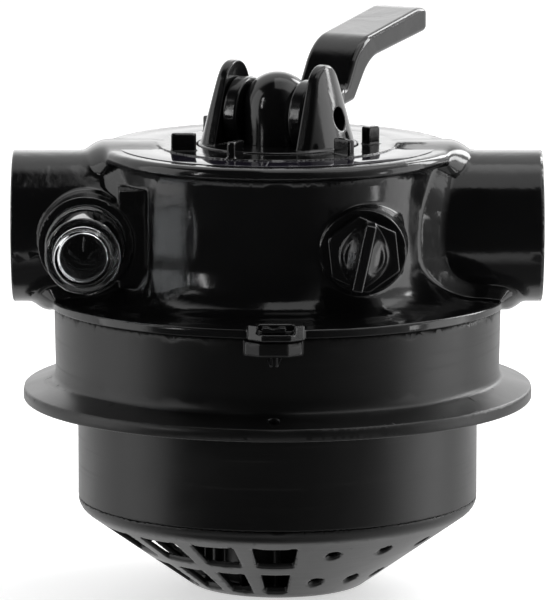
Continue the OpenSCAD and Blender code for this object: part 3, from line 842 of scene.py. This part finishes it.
def satin_black():
    """The neck's duller plastic: scuffs that run round it, dust in the grain, and a painted highlight on
    convex edges.
    """
    g = Graph("satin_black")
    round_marks = g.noise(1.0, 5, 0.62, at=g.scaled(9, 9, 420))
    patches = g.noise(21, 5, 0.6, twist=1.0)
    grain = g.noise(1500, 2, 0.6)
    scuffs = g.spread(round_marks, 0.56, 0.74)
    dust = g.maths("MULTIPLY", scuffs, g.spread(patches, 0.4, 0.7))
    colour = g.blend(patches, (0.0026, 0.0026, 0.0027), (0.0045, 0.0045, 0.0045))
    colour = g.blend(g.maths("MULTIPLY", dust, 0.5), colour, (0.022, 0.0215, 0.021))
    # painted highlight: convex edges are lightened in the base colour, where the edge would catch light
    colour = g.blend(g.maths("MULTIPLY", g.edges(0.53, 0.63), 0.6), colour, (0.018, 0.018, 0.018))
    rough = g.maths("ADD", g.spread(patches, 0.3, 0.7, 0.30, 0.38), g.maths("MULTIPLY", scuffs, 0.08))
    normal = g.bump(round_marks, 0.0002, 0.25)
    normal = g.bump(grain, 0.00004, 0.35, normal)
    return g.set(Base_Color=colour, Roughness=rough, Normal=normal, IOR=1.5, Specular_IOR_Level=0.42)


def rubber():
    """Dull black moulded rubber with a faint bloom."""
    g = Graph("rubber")
    grain = g.noise(2600, 3, 0.6)
    bloom = g.noise(60, 4, 0.6)
    colour = g.blend(bloom, (0.012, 0.012, 0.012), (0.028, 0.027, 0.026))
    return g.set(Base_Color=colour, Roughness=g.spread(bloom, 0.3, 0.7, 0.55, 0.75),
                 Normal=g.bump(grain, 0.00005, 0.4), IOR=1.48)


def turned_steel():
    """Stainless steel with fine cutting lines."""
    g = Graph("turned_steel")
    lines = g.noise(1.0, 3, 0.6, at=g.scaled(3000, 3000, 3000))
    tint = g.noise(90, 3, 0.5)
    colour = g.blend(tint, (0.50, 0.50, 0.51), (0.62, 0.61, 0.60))
    return g.set(Base_Color=colour, Roughness=g.spread(lines, 0.3, 0.7, 0.22, 0.36), Metallic=1.0,
                 Normal=g.bump(lines, 0.00002, 0.5))


def moulded(name, dark, light, rough_low, rough_high):
    """A plain moulded plastic for the pieces inside."""
    g = Graph(name)
    patches = g.noise(30, 4, 0.6)
    grain = g.noise(1300, 2, 0.6)
    return g.set(Base_Color=g.blend(patches, dark, light), IOR=1.5,
                 Roughness=g.spread(patches, 0.3, 0.7, rough_low, rough_high),
                 Normal=g.bump(grain, 0.00005, 0.3))


def clear_plastic():
    """Clear polycarbonate with slow waves and faint smears."""
    g = Graph("clear_plastic")
    waves = g.noise(120, 2, 0.5)
    smears = g.noise(70, 4, 0.6, twist=1.0)
    return g.set(Base_Color=(0.97, 0.985, 1.0), Transmission_Weight=1.0, IOR=1.49,
                 Roughness=g.spread(smears, 0.35, 0.75, 0.0, 0.05), Normal=g.bump(waves, 0.0001, 0.25))


RING_OUTER = 0.0684
RING_INNER = 0.0534
RING_HALF_LINE = 0.0003
DIVIDER_HALF_LINE = 0.00035


def label_film():
    """Dark film with two fine pale rings and six dividers in place of any wording."""
    g = Graph("label_film")
    apart = g.tree.nodes.new("ShaderNodeSeparateXYZ")
    g.link(g.place, apart.inputs[0])
    x, y = apart.outputs["X"], apart.outputs["Y"]
    radius = g.maths("SQRT", g.maths("ADD", g.maths("MULTIPLY", x, x), g.maths("MULTIPLY", y, y)))
    angle = g.maths("ARCTAN2", y, x)
    sector = math.radians(60)
    offset = g.maths("PINGPONG", g.maths("ADD", angle, LEVER_AZIMUTH + FULL_TURN), sector / 2)
    across = g.maths("MULTIPLY", g.maths("SUBTRACT", sector / 2, offset), radius)
    divider = g.maths("LESS_THAN", across, DIVIDER_HALF_LINE)
    rings = []
    for ring in (RING_OUTER, RING_INNER):
        line = g.maths("COMPARE", radius, ring)
        line.node.inputs[2].default_value = RING_HALF_LINE
        rings.append(line)
    beyond = g.maths("GREATER_THAN", radius, RING_INNER)
    between = g.maths("MULTIPLY", beyond, g.maths("LESS_THAN", radius, RING_OUTER))
    ink = g.maths("MAXIMUM", g.maths("MULTIPLY", divider, between), g.maths("MAXIMUM", *rings))
    fade = g.noise(40, 4, 0.55)
    paper = g.blend(fade, (0.008, 0.007, 0.012), (0.014, 0.012, 0.020))
    colour = g.blend(ink, paper, (0.20, 0.20, 0.21))
    waves = g.noise(45, 2, 0.5)
    return g.set(Base_Color=colour, Roughness=g.spread(fade, 0.3, 0.7, 0.05, 0.12), IOR=1.5,
                 Normal=g.bump(waves, 0.0004, 0.15))


def floor_white():
    """A white floor that glows a little, so that it stays pale under the soft light."""
    g = Graph("floor_white")
    cloud = g.noise(3, 3, 0.5)
    colour = g.blend(cloud, (0.86, 0.86, 0.86), (0.89, 0.89, 0.89))
    return g.set(Base_Color=colour, Roughness=0.6, Specular_IOR_Level=0.1,
                 Emission_Color=(1.0, 1.0, 1.0), Emission_Strength=0.55)


def wear(obj, material):
    """Give an object that one material."""
    obj.data.materials.clear()
    obj.data.materials.append(material)


# ---- Pieces ---------------------------------------------------------------------------------------

black = gloss_black()
satin = satin_black()
seal = rubber()
steel = turned_steel()
white = moulded("washer_white", (0.70, 0.70, 0.67), (0.80, 0.80, 0.78), 0.35, 0.5)
grey = moulded("rotor_grey", (0.20, 0.21, 0.22), (0.27, 0.28, 0.29), 0.4, 0.55)
clear = clear_plastic()
film = label_film()


def show(obj, node, body, material):
    """A finished piece that stands for a CAD node."""
    wear(obj, material)
    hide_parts(node)
    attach(obj, body)


# node, body, (slot, material), field, lowest corner, highest corner, cell size, thinning of flat faces
BLACK = ("black_plastic", black)
SATIN = ("neck_plastic", satin)
SHAPES = (
    ("port_body", "housing", BLACK, port_body_field, (-115, -109, 110), (115, 115, 203), 0.75, 0.02),
    ("yoke", "yoke", BLACK, in_lever_frame(yoke_field), (-36, -36, 190), (36, 36, 231), 0.4, 0.0),
    ("handle", "handle", BLACK, in_lever_frame(handle_field), (-26, -22, 190), (75, 130, 242), 0.55, 0.0),
    ("stem", "rotor_stack", BLACK, in_lever_frame(stem_field), (-16, -16, 128), (16, 16, 227), 0.45, 0.0),
    ("plug", "plug", BLACK, plug_field, (15, -92, 138), (58, -55, 176), 0.4, 0.0),
    ("lock_pin", "housing", BLACK, lock_pin_field, (-8, -107, 112), (5, -100, 132), 0.3, 0.05),
    ("neck_flange", "housing", SATIN, neck_field, (-111, -111, 39), (111, 111, 125), 0.9, 0.02),
    ("diffuser", "housing", SATIN, diffuser_field, (-88, -88, -1), (88, 88, 53), 0.75, 0.12),
)
for node, body, (slot_name, material), field, low, high, cell, adapt in SHAPES:
    show(sculpt(node + "_shape", field, low, high, cell, adapt), node, body, material)

label_section = [
    [DISC_R + 0.3, FACE_Z, 0], [LABEL_R, FACE_Z, 0], [LABEL_R, LABEL_Z, 0.12],
    [DISC_R + 0.3, LABEL_Z, 0.12]]
show(turned("label_ring", label_section, 240), "label_plate", "housing", film)

# a cup with its closed end outwards; the inner end plugs into the boss with its O-ring
cup_section = [
    [11.4, 41, 0.2], [12.3, 41, 0.2], [12.3, 44.2, 0.3], [13.9, 44.2, 0.2], [13.9, 48, 0],
    [17.3, 48, 0.3], [17.3, 54, 1.2], [16.6, 55.4, 0.8], [16.3, 81.5, 2], [12.8, 82.2, 0.8],
    [12.4, GLASS_REACH, 1.6], [0, GLASS_REACH, 0], [0, GLASS_REACH - 3.2, 0],
    [10.4, GLASS_REACH - 3.2, 2.4], [12.2, 77, 3]]
sight_cup = turned("sight_cup", cup_section, 128, on_front(GLASS_X, GLASS_Z))
show(sight_cup, "sight_glass", "housing", clear)

# CAD nodes whose own shapes stay
CAD_LOOKS = (
    (white, ("yoke_washer",)),
    (grey, ("rotor",)),
    (satin, ("port_plate",)),
    (steel, ("stem_pin", "rotor_screw", "rotor_spring", "spring_washer")),
    (seal, ("stem_o_rings", "spider_gasket", "body_o_ring", "flange_o_ring", "standpipe_seal",
            "sight_glass_o_ring", "plug_o_ring")),
)
for material, nodes in CAD_LOOKS:
    for node in nodes:
        wear(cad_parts[node], material)

# ---- Stage, camera and light ----------------------------------------------------------------------

# mirror and see-through rays miss the floor, so black stays black and the sight glass clear
FLOOR_HALF = 9
floor_mesh = bpy.data.meshes.new("floor")
floor_corners = [(x * FLOOR_HALF, y * FLOOR_HALF, 0) for x, y in ((-1, -1), (1, -1), (1, 1), (-1, 1))]
floor_mesh.from_pydata(floor_corners, [], [(0, 1, 2, 3)])
floor = placed("floor", floor_mesh)
wear(floor, floor_white())
floor.visible_glossy = False
floor.visible_transmission = False

# the fitted camera of the photo: far away, with a long lens, and looking a little down
LOOK_DOWN = math.radians(9.4)
CAMERA_PLACE = (0, -2.579, 0.552)
LENS = 359.5
camera_data = bpy.data.cameras.new("camera")
camera_data.sensor_width = 36
camera_data.lens = LENS
camera_data.clip_end = 50
camera = placed("camera", camera_data)
camera.location = CAMERA_PLACE
camera.rotation_euler = (math.radians(90) - LOOK_DOWN, 0, 0)
bpy.context.scene.camera = camera


def softbox(name, radiance, size, place, target=(0, 0, 0.15)):
    """A rectangular light of that radiance, facing its target."""
    data = bpy.data.lights.new(name, "AREA")
    data.shape = "RECTANGLE"
    data.size, data.size_y = size
    data.energy = radiance * math.pi * size[0] * size[1]
    light = placed(name, data)
    light.location = place
    light.rotation_euler = (Vector(target) - Vector(place)).to_track_quat("-Z", "Y").to_euler()
    light.visible_camera = False


softbox("left_box", 1.5, (0.72, 1.7), (-1.20, -0.19, 0.35))
softbox("top_box", 1.0, (1.0, 1.0), (0.35, 0.0, 1.25))
softbox("front_left_strip", 11, (0.06, 0.8), (-1.18, -0.92, 0.56), (0, 0, 0.2))
softbox("right_rear_box", 8, (0.28, 0.7), (1.05, 0.55, 0.70))
softbox("rear_right_box", 7, (0.28, 0.7), (0.70, 0.95, 0.80))
softbox("right_box", 1.5, (0.7, 1.4), (1.35, 0.05, 0.20))
softbox("front_right_strip", 5, (0.10, 0.5), (1.41, -0.52, 0.10))


def studio_world():
    """A white sweep behind and beside the object, a dim room in front of it."""
    world = bpy.data.worlds.new("studio")
    bpy.context.scene.world = world
    world.use_nodes = True
    tree = world.node_tree
    new, link = tree.nodes.new, tree.links.new
    shader = tree.nodes["Background"]
    way = new("ShaderNodeSeparateXYZ")
    link(new("ShaderNodeTexCoord").outputs["Generated"], way.inputs[0])

    def ramp(value, low, high, out_low, out_high):
        """A smooth step between two values."""
        node = new("ShaderNodeMapRange")
        node.interpolation_type = "SMOOTHSTEP"
        for socket, number in zip(node.inputs[1:5], (low, high, out_low, out_high)):
            socket.default_value = number
        link(value, node.inputs["Value"])
        return node.outputs["Result"]

    def maths(kind, a, b):
        """One sum on numbers or sockets."""
        node = new("ShaderNodeMath")
        node.operation = kind
        for socket, value in zip(node.inputs, (a, b)):
            if isinstance(value, (int, float)):
                socket.default_value = value
            else:
                link(value, socket)
        return node.outputs[0]

    side, back, up = (way.outputs[axis] for axis in "XYZ")
    # white behind, with a stronger patch straight behind and a little above
    glow = maths("MULTIPLY", ramp(back, 0.75, 0.95, 0.0, 1.0), ramp(up, 0.03, 0.12, 0.0, 0.85))
    behind = maths("ADD", ramp(back, 0.0, 0.3, 0.0, 1.0), glow)
    # a soft edge on the right, a glow from below like a lit floor, and a dim room in all the rest
    feather = maths("MULTIPLY", ramp(side, 0.1, 0.6, 0.0, 1.0), ramp(back, -0.95, 0.05, 0.05, 0.75))
    under = maths("MULTIPLY", ramp(up, -0.60, -0.52, 0.85, 0.0), ramp(up, -0.82, -0.64, 0.12, 1.0))
    room = maths("MAXIMUM", maths("MAXIMUM", feather, 0.02), under)
    light = maths("MAXIMUM", behind, room)
    # the camera itself sees plain white
    seen = maths("MAXIMUM", light, new("ShaderNodeLightPath").outputs["Is Camera Ray"])
    link(seen, shader.inputs["Strength"])
    shader.inputs["Color"].default_value = (1, 1, 1, 1)


studio_world()
bpy.context.scene.view_settings.view_transform = "Standard"
